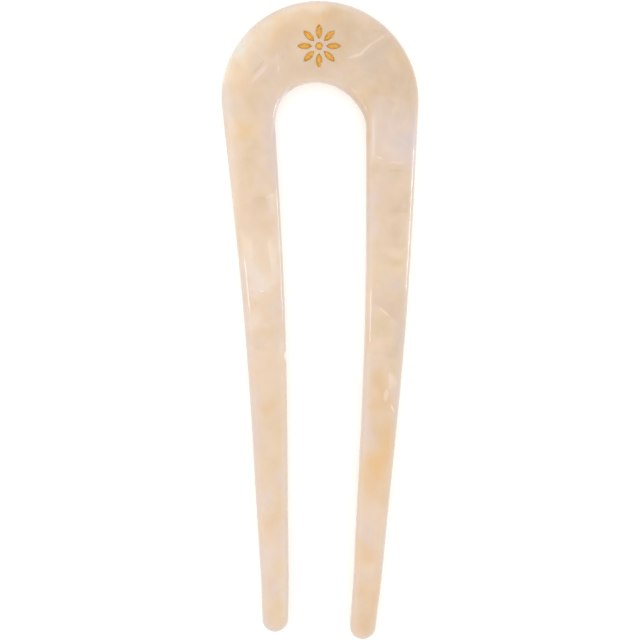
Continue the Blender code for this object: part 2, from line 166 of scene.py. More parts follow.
# Clouds in the sheet: where they lie from the pin's middle before they drift, their half sizes, how far they
# are turned anticlockwise, their tint and how much they cover. Places and sizes are in millimetres, turns in
# degrees.
CLOUD_COLUMNS = ("x", "y", "half_x", "half_y", "turn", "tint", "strength")
CLOUDS = (
    # the ground, in broad sweeps
    (-12.0, 8.0, 7.0, 22.0, 0, "shell", 0.8),
    (-10.5, -32.0, 5.0, 36.0, 0, "shell", 0.85),
    (9.5, -42.0, 5.0, 20.0, 0, "shell", 0.45),
    (8.5, 56.0, 11.0, 8.0, -30, "dusk", 0.75),
    (-11.0, 57.0, 8.0, 6.0, 40, "rose", 0.6),
    # crown, from left to right
    (-19.1, 43.0, 1.1, 4.6, 0, "ice", 0.7),
    (-16.0, 54.5, 6.8, 3.4, 54, "peach", 0.9),
    (-8.6, 62.2, 4.6, 1.6, 22, "peach", 0.8),
    (-16.4, 56.0, 4.2, 2.0, 52, "frost", 1.0),
    (-11.8, 60.0, 2.6, 1.2, 36, "frost", 0.4),
    (-4.2, 63.7, 4.6, 0.8, 8, "frost", 0.4),
    (-16.4, 50.3, 1.4, 2.6, 8, "rose", 0.7),
    (-17.2, 52.4, 1.2, 0.7, 0, "straw", 0.5),
    (-17.8, 51.6, 1.8, 4.6, 18, "peach", 0.5),
    (-12.8, 59.4, 2.4, 1.6, 36, "peach", 0.6),
    (-6.6, 63.0, 3.4, 1.1, 16, "ice", 0.9),
    (-7.2, 62.6, 3.0, 1.2, 22, "frost", 0.8),
    (7.7, 62.6, 3.0, 1.0, -14, "rose", 0.5),
    (-15.6, 48.6, 1.6, 2.6, 0, "honey", 0.45),
    (-8.8, 54.8, 2.2, 2.2, 0, "dusk", 0.5),
    (-7.2, 58.6, 3.4, 3.0, 20, "tan", 0.6),
    (-7.5, 60.6, 1.7, 1.0, 0, "rose", 0.8),
    (-8.6, 61.4, 6.0, 2.0, 24, "peach", 0.45),
    (-5.8, 54.8, 1.5, 2.6, 0, "brown", 0.5),
    (-9.4, 48.4, 4.6, 2.8, 48, "slate", 0.4),
    (-13.8, 54.6, 1.4, 2.0, 40, "rose", 0.5),
    (-10.2, 50.4, 2.2, 2.0, 30, "lilac", 0.9),
    (-13.4, 44.5, 1.7, 3.2, 0, "olive", 0.45),
    (1.8, 60.9, 4.2, 1.6, 0, "tan", 1.0),
    (-0.8, 61.2, 2.2, 1.1, 0, "amber", 0.6),
    (3.8, 60.4, 2.8, 1.8, 0, "olive", 0.5),
    (0.5, 64.4, 11.0, 1.2, 0, "peach", 1.0),
    (5.2, 56.2, 1.2, 2.8, 0, "tan", 0.7),
    (7.6, 58.6, 3.6, 1.5, -10, "brown", 0.4),
    (3.8, 49.9, 2.2, 1.2, -20, "lilac", 0.5),
    (3.8, 52.4, 1.2, 1.4, 0, "tan", 0.7),
    (11.2, 53.4, 4.2, 2.6, 35, "slate", 0.8),
    (14.8, 47.7, 3.4, 2.6, -20, "brown", 0.8),
    (16.7, 53.2, 1.6, 3.6, 25, "olive", 0.6),
    (17.4, 51.2, 1.4, 3.4, 28, "tan", 0.5),
    (18.5, 49.4, 1.1, 2.4, 10, "olive", 0.9),
    (13.6, 58.0, 2.2, 1.8, -40, "brown", 0.8),
    (18.3, 45.5, 1.7, 4.6, 4, "brown", 0.8),
    (11.9, 46.3, 2.4, 1.6, 30, "tan", 0.7),
    (11.4, 48.5, 1.6, 2.2, 0, "brown", 0.6),
    (8.9, 45.4, 1.5, 1.4, 0, "rose", 0.4),
    (-9.4, 61.0, 2.6, 2.0, 0, "wheat", 0.25),
    (-14.8, 55.2, 2.8, 3.2, 50, "flash", 0.2),
    (-12.6, 59.9, 3.2, 2.0, 36, "peach", 0.6),
    (-12.0, 60.3, 1.8, 1.2, 36, "flash", 0.25),
    (-13.4, 59.2, 3.0, 2.8, 36, "peach", 0.4),
    (-7.2, 61.9, 1.4, 0.8, 20, "frost", 0.45),
    (-10.4, 57.8, 3.4, 2.6, 20, "wheat", 0.13),
    (-16.4, 51.0, 1.6, 2.4, 0, "wheat", 0.25),
    (-3.5, 61.1, 2.6, 2.0, 0, "peach", 0.2),
    (-3.9, 60.1, 2.4, 1.8, 0, "wheat", 0.25),
    (-1.5, 61.8, 7.6, 3.0, 0, "wheat", 0.15),
    (-1.3, 62.0, 1.1, 0.9, 0, "amber", 0.3),
    (1.8, 59.9, 1.6, 1.3, 0, "tan", 0.5),
    (2.0, 59.9, 2.2, 1.3, 0, "brown", 0.3),
    (4.9, 57.3, 1.2, 2.2, 0, "brown", 0.6),
    (-1.2, 50.9, 9.0, 2.4, 0, "brown", 0.42),
    (12.3, 43.7, 1.2, 3.2, 0, "brown", 0.5),
    (12.6, 59.3, 2.3, 1.6, -38, "brown", 0.4),
    (3.3, 50.6, 1.8, 1.3, 0, "orchid", 0.5),
    (8.0, 52.4, 2.6, 2.2, 0, "pearl", 0.2),
    (2.0, 63.1, 1.6, 0.8, 0, "frost", 0.3),
    (6.9, 61.5, 1.8, 1.4, -20, "ice", 0.25),
    # right prong, downwards
    (13.0, 42.8, 0.9, 2.6, 0, "lilac", 0.5),
    (15.3, 37.0, 4.0, 5.0, 0, "lilac", 0.7),
    (16.8, 36.6, 2.8, 4.4, 0, "lilac", 0.5),
    (17.2, 35.6, 1.9, 3.0, 0, "blue", 0.9),
    (12.6, 38.2, 2.2, 5.0, 0, "orchid", 0.85),
    (18.2, 39.4, 1.5, 2.6, 0, "orchid", 0.8),
    (18.5, 33.8, 1.0, 2.6, 0, "blue", 0.8),
    (16.2, 42.0, 3.2, 1.8, 0, "slate", 0.7),
    (14.6, 34.0, 2.2, 1.2, 0, "ice", 0.5),
    (9.3, 39.6, 0.8, 4.8, 0, "tan", 1.0),
    (10.4, 31.2, 1.4, 1.6, 0, "dusk", 0.6),
    (12.2, 26.2, 1.3, 3.6, 0, "lilac", 0.6),
    (14.6, 29.4, 2.6, 2.0, 0, "slate", 0.6),
    (16.0, 22.7, 2.0, 1.1, 0, "brown", 0.6),
    (10.7, 25.0, 1.4, 4.0, 0, "orchid", 0.7),
    (10.5, 19.8, 1.1, 5.4, 0, "orchid", 1.0),
    (12.4, 17.2, 0.7, 2.6, 0, "rose", 0.3),
    (14.8, 17.8, 2.0, 2.8, 0, "brown", 0.35),
    (11.4, 14.2, 1.2, 1.2, 0, "straw", 0.45),
    (15.4, 12.2, 2.6, 1.0, 0, "olive", 0.8),
    (10.4, 11.0, 1.2, 2.4, 0, "mist", 0.3),
    (14.9, 8.0, 2.0, 1.7, 0, "lilac", 0.8),
    (14.9, 6.2, 2.2, 0.8, 0, "blue", 0.3),
    (15.6, 2.8, 2.4, 2.2, 0, "brown", 0.65),
    (14.2, -5.6, 1.8, 1.8, 0, "dusk", 0.6),
    (10.2, 1.8, 0.9, 2.2, 0, "orchid", 0.75),
    (9.8, 5.2, 1.2, 3.0, 0, "rose", 0.7),
    (11.6, 4.0, 1.4, 2.0, 0, "orchid", 0.6),
    (12.0, -2.0, 1.4, 2.4, 0, "olive", 0.6),
    (16.0, -2.4, 0.8, 3.6, 0, "blue", 0.45),
    (15.6, -4.2, 1.6, 3.8, 0, "slate", 0.45),
    (12.1, -14.6, 1.9, 4.8, 0, "honey", 1.0),
    (13.4, -17.6, 1.4, 1.8, 0, "tan", 0.5),
    (11.4, -13.0, 1.8, 1.6, 0, "olive", 0.5),
    (10.0, -9.6, 2.0, 2.2, 0, "orchid", 0.6),
    (15.7, -13.6, 1.2, 3.0, 0, "orchid", 0.9),
    (9.5, -22.0, 1.1, 4.4, 0, "orchid", 0.65),
    (14.2, -22.6, 1.5, 3.4, -8, "honey", 1.0),
    (11.4, -30.0, 3.4, 4.6, -8, "honey", 1.0),
    (12.0, -29.4, 2.0, 3.2, -8, "amber", 0.8),
    (13.0, -25.0, 2.0, 3.2, -8, "amber", 0.6),
    (10.6, -33.4, 3.4, 3.4, -6, "amber", 0.4),
    (9.6, -21.0, 1.1, 2.4, 0, "orchid", 0.8),
    (12.4, -35.8, 2.8, 2.4, 0, "honey", 0.9),
    (9.6, -41.6, 2.6, 3.0, 0, "orchid", 0.8),
    (8.9, -46.9, 1.7, 2.4, 10, "honey", 0.7),
    (9.5, -51.8, 1.9, 1.5, 0, "lilac", 0.5),
    (10.3, -56.2, 3.0, 3.0, 0, "honey", 0.9),
    (9.6, -61.8, 2.4, 2.8, 0, "tan", 0.65),
    (14.6, 41.0, 3.2, 3.8, 0, "ice", 0.25),
    (16.4, 43.6, 3.6, 6.0, 0, "slate", 0.18),
    (16.0, 37.2, 3.4, 5.6, 0, "blue", 0.2),
    (10.4, 37.0, 0.9, 4.6, 0, "ice", 0.3),
    (18.4, 32.0, 1.3, 2.8, 0, "slate", 0.3),
    (14.2, 19.5, 1.9, 1.7, 0, "brown", 0.3),
    (13.3, 10.6, 2.4, 2.2, 0, "straw", 0.3),
    (14.9, 2.1, 2.8, 2.3, 0, "rose", 0.22),
    (17.6, 17.1, 1.0, 2.6, 0, "ice", 0.3),
    (10.2, 16.9, 0.8, 2.2, 0, "ice", 0.25),
    (16.0, -1.2, 2.4, 3.6, 0, "slate", 0.3),
    (13.4, -9.0, 2.2, 2.6, 0, "slate", 0.22),
    (14.9, -14.9, 0.8, 2.4, -6, "orchid", 0.7),
    (10.6, -29.4, 2.9, 2.8, 0, "rose", 0.17),
    (9.2, -14.6, 0.8, 1.6, -3, "brown", 0.3),
    (8.7, -31.0, 0.8, 2.2, -3, "wheat", 0.4),
    (13.0, -37.8, 1.1, 3.4, -8, "tan", 0.25),
    (8.0, -47.6, 0.8, 3.2, -3, "honey", 0.45),
    (7.6, -58.3, 1.3, 4.0, -4, "slate", 0.25),
    # left prong, downwards
    (-18.7, 41.8, 1.3, 3.2, 0, "ice", 0.7),
    (-16.2, 38.4, 2.4, 2.0, 12, "wheat", 1.0),
    (-10.6, 41.0, 1.1, 1.8, 0, "lilac", 0.6),
    (-10.4, 35.0, 1.7, 7.0, 0, "orchid", 0.7),
    (-9.6, 34.0, 0.9, 6.0, 0, "blue", 0.45),
    (-18.2, 33.6, 1.0, 5.0, 5, "ice", 0.7),
    (-17.6, 37.4, 1.2, 1.2, 0, "wheat", 0.6),
    (-18.5, 39.8, 1.1, 2.8, 4, "ice", 0.9),
    (-18.4, 36.6, 1.1, 5.0, 5, "peach", 0.5),
    (-9.4, 44.0, 1.8, 2.6, 0, "lilac", 0.8),
    (-13.2, 32.8, 1.6, 3.6, 0, "olive", 0.7),
    (-14.3, 27.8, 0.7, 2.3, 0, "olive", 0.4),
    (-12.4, 27.2, 1.2, 2.4, 0, "lilac", 0.5),
    (-9.2, 23.0, 0.9, 2.4, 0, "ice", 0.6),
    (-15.7, 23.4, 1.6, 2.8, 0, "rose", 0.9),
    (-11.9, 23.2, 1.5, 2.0, 0, "brown", 0.35),
    (-11.4, 19.0, 2.6, 0.9, 0, "tan", 0.3),
    (-12.2, 12.2, 3.2, 4.8, 0, "pearl", 0.35),
    (-15.1, 7.4, 0.8, 5.0, 4, "orchid", 0.8),
    (-14.6, 13.4, 1.6, 3.6, 4, "pearl", 0.9),
    (-16.2, 16.6, 1.0, 1.8, 0, "peach", 0.7),
    (-14.2, -2.5, 1.0, 7.0, 4, "rose", 0.7),
    (-8.7, 12.4, 0.9, 4.4, -5, "ice", 0.7),
    (-12.6, 8.2, 2.2, 2.6, 0, "ice", 0.9),
    (-12.0, 13.6, 0.9, 2.4, 0, "straw", 0.4),
    (-13.4, 3.7, 1.3, 1.4, 0, "pearl", 0.8),
    (-13.0, 2.3, 0.6, 0.8, 0, "wheat", 0.5),
    (-8.4, 2.8, 1.1, 3.0, 0, "orchid", 0.9),
    (-13.1, -1.2, 1.9, 1.7, 0, "pearl", 0.8),
    (-13.6, -6.2, 1.2, 2.2, 0, "orchid", 0.7),
    (-13.9, -8.8, 1.6, 2.6, 0, "rose", 0.6),
    (-10.9, -3.0, 3.4, 0.9, 8, "straw", 0.8),
    (-13.5, -3.8, 0.6, 1.0, 0, "wheat", 0.5),
    (-7.9, -6.2, 0.8, 2.6, 0, "ice", 0.6),
    (-8.9, -12.2, 1.0, 1.8, 0, "orchid", 0.5),
    (-13.1, -15.5, 0.9, 3.0, 0, "orchid", 0.7),
    (-12.9, -24.2, 0.8, 3.0, 0, "orchid", 0.8),
    (-10.4, -17.2, 1.6, 2.2, 0, "honey", 0.7),
    (-8.7, -21.8, 1.6, 2.4, 0, "straw", 0.8),
    (-9.1, -29.4, 1.3, 2.4, 0, "straw", 0.5),
    (-11.5, -36.0, 1.6, 1.8, 0, "orchid", 0.9),
    (-9.8, -40.4, 2.6, 1.2, 42, "honey", 0.6),
    (-11.4, -42.6, 1.2, 1.2, 0, "rose", 0.6),
    (-11.2, -47.8, 1.8, 3.2, 0, "orchid", 0.8),
    (-8.3, -49.2, 1.0, 1.8, 0, "straw", 0.6),
    (-7.6, -45.0, 0.8, 2.6, 0, "orchid", 0.7),
    (-8.0, -45.8, 1.4, 2.6, 0, "orchid", 0.6),
    (-9.6, -54.6, 2.4, 3.0, 0, "orchid", 0.9),
    (-7.6, -55.0, 0.8, 2.6, 0, "ice", 0.5),
    (-7.7, -33.4, 0.8, 2.8, 0, "orchid", 0.8),
    (-9.2, -59.4, 1.5, 2.0, 0, "straw", 0.8),
    (-10.9, -61.2, 0.8, 1.8, 0, "orchid", 0.8),
    (-12.4, 43.0, 2.6, 6.5, 0, "brown", 0.2),
    (-17.3, 37.8, 1.3, 2.0, 0, "wheat", 0.4),
    (-18.5, 37.2, 1.5, 4.8, 5, "peach", 0.25),
    (-17.3, 41.9, 1.7, 2.5, 0, "mist", 0.5),
    (-11.0, 40.0, 1.1, 2.3, 0, "blue", 0.4),
    (-16.4, 28.4, 1.8, 2.4, 0, "wheat", 0.2),
    (-13.2, 24.6, 2.7, 3.6, 0, "rose", 0.22),
    (-17.6, 31.3, 1.3, 5.5, 5, "ice", 0.25),
    (-10.0, 36.1, 1.4, 4.0, 0, "slate", 0.25),
    (-9.9, 15.8, 0.8, 1.2, 0, "pearl", 0.5),
    (-14.0, 9.0, 2.4, 12.0, 4, "ice", 0.2),
    (-8.5, 12.0, 0.9, 2.2, 0, "frost", 0.25),
    (-13.6, 10.4, 2.0, 4.0, 0, "ice", 0.25),
    (-12.8, -4.5, 2.2, 6.0, 4, "pearl", 0.25),
    (-9.0, -1.7, 1.5, 4.8, 0, "ice", 0.22),
    (-14.2, -15.4, 1.1, 2.4, 4, "pearl", 0.3),
    (-12.4, -23.4, 1.6, 4.6, 0, "orchid", 0.4),
    (-11.7, -36.3, 1.2, 2.2, 0, "ice", 0.4),
    (-7.7, -39.0, 1.2, 2.4, 0, "straw", 0.45),
    (-10.8, -41.4, 1.9, 2.0, 0, "rose", 0.45),
    (-11.0, -48.0, 1.5, 3.4, 0, "ice", 0.4),
    (-10.4, -61.7, 1.5, 1.5, 0, "orchid", 0.6),
)

# Tints that lie along the pin's edges and don't drift, in the same columns, with half_x along the edge. Most
# are painted light and shade: paler left and inner edges, a darker, cooler outer right edge, painted
# highlight lines and a painted shade that dims one; the rest are the sheet's own tints
EDGE_TINTS_LIGHT_AND_SHADE = (
    # along the outer left edge, downwards: painted light, paler
    (-16.5, 55.7, 3.6, 0.80, 57, "frost", 0.35),
    (-18.9, 50.2, 3.0, 0.90, 76, "frost", 0.5),
    (-18.6, 50.2, 3.2, 1.40, 76, "peach", 0.35),
    (-17.3, 24.4, 5.5, 0.80, 96, "peach", 0.35),
    (-16.4, 16.2, 4.5, 0.70, 96, "straw", 0.4),
    # round the arch: painted light, paler
    (-4.1, 47.7, 2.2, 0.45, 22, "rose", 0.35),
    (-0.8, 48.4, 3.2, 0.50, 0, "peach", 0.35),
    (3.0, 47.6, 1.8, 0.50, -22, "orchid", 0.4),
    # along the left prong's inner edge: painted highlight lines at the arch, then paler painted light
    (-7.3, 45.4, 1.9, 0.36, 58, "flash", 0.6),
    (-9.1, 41.0, 3.4, 0.28, 80, "flash", 0.4),
    (-7.2, -13.2, 10.5, 0.80, 91, "peach", 0.25),
    (-7.0, -31.5, 10.5, 0.80, 90, "pearl", 0.35),
    (-7.0, -51.0, 11.5, 0.80, 90, "pearl", 0.28),
    # along the right prong's inner edge: painted light and shade
    (7.6, 44.1, 2.8, 0.60, -54, "brown", 0.55),
    (9.5, 36.0, 6.5, 0.45, 90, "brown", 0.55),
    (9.7, 26.5, 5.5, 0.50, 90, "tan", 0.22),
    (9.6, 4.1, 9.5, 0.80, 89, "peach", 0.25),
    # painted shade that dims the highlight line here
    (9.9, -3.6, 2.6, 0.50, 88, "brown", 0.45),
    (9.1, -13.2, 10.5, 0.80, 87, "ice", 0.22),
    (8.2, -31.5, 10.5, 0.80, 87, "pearl", 0.28),
    (8.6, -31.0, 2.2, 1.00, 87, "wheat", 0.35),
    (7.4, -48.7, 9.5, 0.80, 87, "peach", 0.22),
    (7.6, -47.5, 3.2, 0.60, 87, "honey", 0.35),
    # along the outer right edge: painted shade, darker and cooler
    (15.9, 55.7, 3.9, 1.10, -55, "brown", 0.4),
    (18.8, 50.3, 3.2, 1.00, -73, "brown", 0.7),
    (18.4, 49.6, 2.0, 0.80, -73, "tan", 0.3),
    (19.6, 45.1, 3.6, 0.90, 90, "brown", 0.6),
    (19.3, 39.6, 2.8, 0.90, 88, "brown", 0.35),
    (19.0, 35.3, 7.5, 0.80, 87, "blue", 0.45),
    (18.0, 24.0, 2.4, 0.80, 86, "slate", 0.4),
    (17.0, 0.5, 6.5, 0.90, 86, "slate", 0.55),
    (15.7, -13.7, 9.8, 0.85, 84, "slate", 0.38),
    (14.0, -31.5, 10.3, 0.80, 84, "tan", 0.25),
    (11.5, -56.5, 6.2, 0.90, 84, "tan", 0.4),
    (10.2, -63.3, 1.3, 0.80, 10, "tan", 0.3),
)

# Folds of the pearl, close under the front face: the middle and half length of each crisp edge, which way it
# runs, how far to its left side the tint reaches, the tint and how much it covers. Millimetres and degrees.
FOLD_COLUMNS = ("x", "y", "half_length", "turn", "reach", "tint", "strength")
FOLDS = (
    # crown, left
    (-14.3, 55.4, 2.4, 50, 3.0, "frost", 0.25),
    (-13.3, 51.1, 2.7, 55, 1.6, "mist", 0.3),
    (-11.0, 54.7, 1.9, 63, 2.2, "mist", 0.3),
    (-10.2, 59.2, 2.2, 90, 2.8, "mist", 0.35),
    (2.0, 62.6, 1.0, 48, 3.0, "rose", 0.3),
    # crown, right: a fan
    (10.9, 54.6, 3.8, 212, 3.2, "slate", 0.6),
    # right prong: the large flake and those under it
    (12.8, 43.4, 2.2, -113, 2.4, "lilac", 0.65),
    (14.5, 44.4, 1.3, 145, 2.6, "slate", 0.45),
    (12.7, 32.3, 1.9, -20, 4.0, "lilac", 0.45),
    (16.4, 31.8, 2.6, 2, 4.0, "orchid", 0.5),
    (10.5, 36.9, 4.6, -90, 1.1, "ice", 0.8),
    (16.0, 21.7, 1.8, 0, 1.6, "brown", 0.45),
    (13.2, 1.6, 3.2, -38, 3.4, "brown", 0.4),
    (15.0, 6.0, 2.2, 0, 2.4, "lilac", 0.3),
    (13.9, -12.3, 1.7, -90, 2.0, "pearl", 0.5),
    (12.2, -18.4, 2.2, -6, 4.0, "honey", 0.45),
    # left prong: a hooked flap, then a cup
    (-9.9, 25.0, 0.9, 250, 1.7, "pearl", 0.6),
    (-12.2, 25.0, 1.6, 180, 3.0, "brown", 0.35),
    (-12.9, 5.8, 1.6, -8, 3.6, "ice", 0.7),
    (-9.9, 6.8, 2.1, 38, 4.0, "pearl", 0.6),
    (-13.6, 13.4, 3.0, 88, 3.2, "pearl", 0.65),
    (-10.3, 12.8, 3.8, -82, 1.8, "pearl", 0.8),
    (-10.6, -1.5, 3.4, 188, 1.6, "straw", 0.3),
)

# Fine streaks: middle, half length, half width, turn, tint and cover, in millimetres and degrees.
STREAK_COLUMNS = ("x", "y", "half_length", "half_width", "turn", "tint", "strength")
STREAKS = (
    # crown
    (-12.2, 49.9, 2.9, 0.55, 47, "ice", 0.5),
    (-12.4, 51.2, 2.4, 0.28, 50, "slate", 0.5),
    (-8.7, 53.3, 0.8, 0.50, 60, "orchid", 0.8),
    (-8.4, 50.9, 0.9, 0.28, 85, "pearl", 0.5),
    (-7.4, 53.2, 1.0, 0.20, 88, "slate", 0.5),
    (7.3, 53.5, 2.0, 0.40, 17, "pearl", 0.6),
    (9.4, 55.0, 2.2, 0.42, 42, "ice", 0.5),
    (11.9, 56.8, 2.2, 0.40, 35, "ice", 0.35),
    (13.6, 57.4, 1.2, 0.80, 40, "lilac", 0.5),
    (6.8, 46.5, 0.9, 0.18, -48, "pearl", 0.6),
    # right prong
    (13.1, 40.5, 4.4, 0.75, 90, "lilac", 0.5),
    (12.1, 32.8, 0.9, 0.30, -17, "pearl", 0.8),
    (15.6, 31.8, 1.8, 0.30, -8, "pearl", 0.5),
    (15.2, 30.2, 1.8, 0.34, 0, "olive", 0.9),
    (13.0, 1.7, 1.7, 0.26, -42, "pearl", 0.75),
    (14.7, -12.2, 1.7, 0.80, -58, "pearl", 0.5),
    (13.4, -15.2, 1.5, 0.56, 80, "pearl", 0.65),
    (14.7, -17.9, 1.0, 0.26, -66, "ice", 0.9),
    # left prong
    (-10.1, 25.1, 1.2, 0.34, 30, "pearl", 0.7),
    (-14.5, 14.2, 2.8, 1.10, -86, "peach", 0.6),
    (-9.8, 13.2, 3.6, 0.60, -82, "peach", 0.5),
    (-11.8, 5.8, 0.5, 0.14, 0, "flash", 0.9),
    (-7.0, -7.3, 1.1, 0.34, 90, "flash", 0.9),
)

# Lamps: where each stands, the point that it aims at, its sizes across and along the pin, its watts and its
# colour, and whether it lights the pin softly or only shows in its polish as a thin line
LAMP_COLUMNS = ("name", "place", "aim", "across", "along", "power", "colour", "lights")
LAMPS = (
    ("west_panel", (-0.500, 0.000, 0.150), (0.000, 0.000, 0.004), 0.300, 0.300, 0.25, "FFFFFF", True),
    ("east_panel", (0.500, 0.000, 0.150), (0.000, 0.000, 0.004), 0.300, 0.300, 0.25, "CCEEFF", True),
    ("east_strip", (0.075, 0.0194, 0.014), (0.005, 0.0194, 0.004), 0.010, 0.0332, 0.0096, "FFFFFF", False),
    ("north_east_strip", (0.075, 0.043, 0.014), (0.005, 0.043, 0.004), 0.010, 0.014, 0.0004, "FFFFFF", False),
    ("west_strip", (-0.078, 0.003, 0.130), (-0.004, 0.003, 0.004), 0.040, 0.012, 0.0068, "FFFFFF", False),
)


def linear(text):
    """Turns an sRGB hex colour into linear red, green and blue."""
    values = [int(text[k : k + 2], 16) / 255.0 for k in (0, 2, 4)]
    return tuple(v / 12.92 if v <= 0.04045 else ((v + 0.055) / 1.055) ** 2.4 for v in values)


def named_rows(columns, rows):
    """The rows of a table, each as a dictionary by its columns' names."""
    return [dict(zip(columns, row)) for row in rows]


def size_property(name, description, default):
    """A length in metres, kept above nothing."""
    return bpy.props.FloatProperty(
        name=name, description=description, default=default, min=0.0, precision=5, unit="LENGTH"
    )


def colour_property(name, description, text):
    """A linear colour whose default is given as sRGB hex."""
    return bpy.props.FloatVectorProperty(
        name=name, description=description, default=linear(text), min=0.0, max=1.0, subtype="COLOR"
    )


class PinSizes(bpy.types.PropertyGroup):
    """Sizes of the acetate pin that its box doesn't give."""

    crown_radius: size_property("Crown radius", "Outer curve of the crown", 0.0200)
    crown_band: size_property("Crown band", "From the top of the crown down to the top of the arch", 0.0166)
    arch_radius: size_property("Arch radius", "Curve of the arch under the crown", 0.0092)
    left_shortfall: size_property("Left shortfall", "How much higher the left prong ends", 0.0015)
    tip_radius: size_property("Tip radius", "Round end of a prong", 0.00264)
    tip_spread: size_property("Tip spread", "Between the middles of the two round ends", 0.0178)
    tip_lean: size_property("Tip lean", "How far the tips lie to the right of the crown's middle", 0.0004)
    side_bow: size_property("Side bow", "How far the pin bows to the right, half way down", 0.0011)
    arch_lean: size_property("Arch lean", "How far the arch's top leans to the left", 0.0008)
    tip_hook: size_property("Tip hook", "How far both tips curl to the left", 0.0004)
    hook_length: size_property("Hook length", "From the lower tip's end up to where the curl starts", 0.0140)
    edge_run: size_property("Edge run", "How far the rounding of an edge reaches in over a face", 0.0017)
    edge_drop: size_property("Edge drop", "How far the rounding reaches down the wall", 0.0015)
    polish_dip: size_property("Polish dip", "How deep hand polishing dips the front face", 0.00003)


class RosetteSizes(bpy.types.PropertyGroup):
    """Sizes of the gold rosette that its solids' boxes don't give."""

    floor_gap: size_property("Floor gap", "Clear space under the gold", 0.00015)
    side_gap: size_property("Side gap", "Clear space round the gold", 0.000008)
    rib_share: bpy.props.FloatProperty(
        name="Rib share", description="Width of a leaf's rib as a share of its half width", default=0.17
    )


class AcetateLook(bpy.types.PropertyGroup):
    """Tints and gloss of the marbled sheet, with the painted light and shade of its edges."""

    cream: colour_property("Cream", "Main colour of the sheet", "E6CBAD")
    shell: colour_property("Shell", "Lighter stretches of the main colour", "F2D6B8")
    dusk: colour_property("Dusk", "Darker stretches of the main colour", "DCC1A3")
    tan: colour_property("Tan", "Brownish clouds", "E5BF91")
    brown: colour_property("Brown", "Darkest clouds", "DABD9E")
    slate: colour_property("Slate", "Cool greyish clouds", "D9C1AB")
    olive: colour_property("Olive", "Dull yellow clouds", "E0C59C")
    straw: colour_property("Straw", "Light yellow clouds", "EBCFA6")
    wheat: colour_property("Wheat", "Bright yellow clouds", "F0CD98")
    honey: colour_property("Honey", "Golden clouds", "ECC79B")
    amber: colour_property("Amber", "Strongest golden clouds", "F0C283")
    rose: colour_property("Rose", "Light pink clouds", "F6D7BA")
    peach: colour_property("Peach", "Lightest warm clouds", "FFE3C4")
    ice: colour_property("Ice", "Lightest cool clouds", "F6E3D4")
    lilac: colour_property("Lilac", "Cool clouds", "E5CCB9")
    orchid: colour_property("Orchid", "Light cool clouds", "ECD3C5")
    blue: colour_property("Blue", "Coolest clouds", "DECDCC")
    mist: colour_property("Mist", "Pale greyish clouds", "EADACA")
    frost: colour_property("Frost", "Whitest clouds", "F8F4E4")
    pearl: colour_property("Pearl", "Flakes and pale clouds", "F8E1CD")
    # Flash also paints the highlight lines along the arch's inner edge
    flash: colour_property("Flash", "Bright rims of flakes", "FFF6EC")
    # The verge is a painted paler sheen where the edges round over, the rim a painted darker, cooler shade
    verge: colour_property("Verge", "Where the edges begin to round over", "ECD8CC")
    rim: colour_property("Rim", "Outermost edges", "CFC4BF")
    coat_roughness: bpy.props.FloatProperty(
        name="Coat roughness", description="Roughness of the polished surface", default=0.04, min=0.0, max=1.0
    )


class GoldLook(bpy.types.PropertyGroup):
    """Tints of the gold plate, with the painted shade of its hollows."""

    bright: colour_property("Bright", "Polished gold", "F5BE66")
    # The gold of the hollows is painted shade
    hollow_shade: colour_property("Deep", "Gold in the hollows", "C0760A")


class StageSettings(bpy.types.PropertyGroup):
    """Floor, lamps and camera."""

    floor: colour_property("Floor", "Pale table top", "F7F7F7")
    camera_height: size_property("Camera height", "From half way up the pin to the camera", 0.62)
    frame_height: size_property("Frame height", "What the picture takes in, from top to bottom", 0.12995)
    table_glow: bpy.props.FloatProperty(
        name="Table glow", description="Light that the table top gives by itself", default=0.27, min=0.0
    )
    sky_strength: bpy.props.FloatProperty(
        name="Sky strength", description="Brightness of the white all round", default=0.92, min=0.0
    )


def arc(centre, radius, start, end, steps, closed=False):
    """Points of an arc from the angle start to the angle end, with its last point only where closed."""
    angles = np.linspace(start, end, steps, endpoint=closed)
    return centre + radius * np.stack((np.cos(angles), np.sin(angles)), axis=1)


def line(start, end, steps):
    """Points of a straight side from start up to, but without, end."""
    shares = np.linspace(0.0, 1.0, steps, endpoint=False)[:, None]
    return start + shares * (end - start)


def tangent_normal(near, near_radius, far, far_radius, side):
    """Unit normal of the line that touches two circles, on the right (side = 1) or left (side = -1) of near.

    A negative far_radius puts the far circle across the line from the near one.
    """
    gap = far - near
    distance = math.hypot(*gap)
    along = gap / distance
    across = side * np.array((-along[1], along[0]))
    lean = (near_radius - far_radius) / distance
    return lean * along + math.sqrt(1.0 - lean * lean) * across


def swell(share):
    """Smooth rise from 0 to 1 as share goes from 0 to 1: a squared sine, level at both ends."""
    return np.sin(math.pi / 2 * np.clip(share, 0.0, 1.0)) ** 2


def bend_at(sizes, y):
    """Sideways shift of the pin at a height y: a bow to the right, most half way down, and the tips' curl."""
    bow = sizes.side_bow * swell(2.0 * np.minimum(-y, PIN_LENGTH + y) / PIN_LENGTH)
    return bow - sizes.tip_hook * swell((sizes.hook_length - PIN_LENGTH - y) / sizes.hook_length)


def lean_at(sizes, y):
    """Sideways shift of the arch at a height y: nothing where it springs from the prongs, most at its top."""
    spring = -sizes.crown_band - sizes.arch_radius
    return -sizes.arch_lean * swell((y - spring) / sizes.arch_radius)


def side_normals(top, radius, left, right, tip_radius):
    """Unit normals of an edge's straight sides, left and right, and the angles at which they point."""
    normals = [tangent_normal(top, radius, tip, tip_radius, side) for tip, side in ((left, -1), (right, 1))]
    left_angle, right_angle = (math.atan2(normal[1], normal[0]) for normal in normals)
    return normals, (left_angle % FULL_TURN, right_angle)


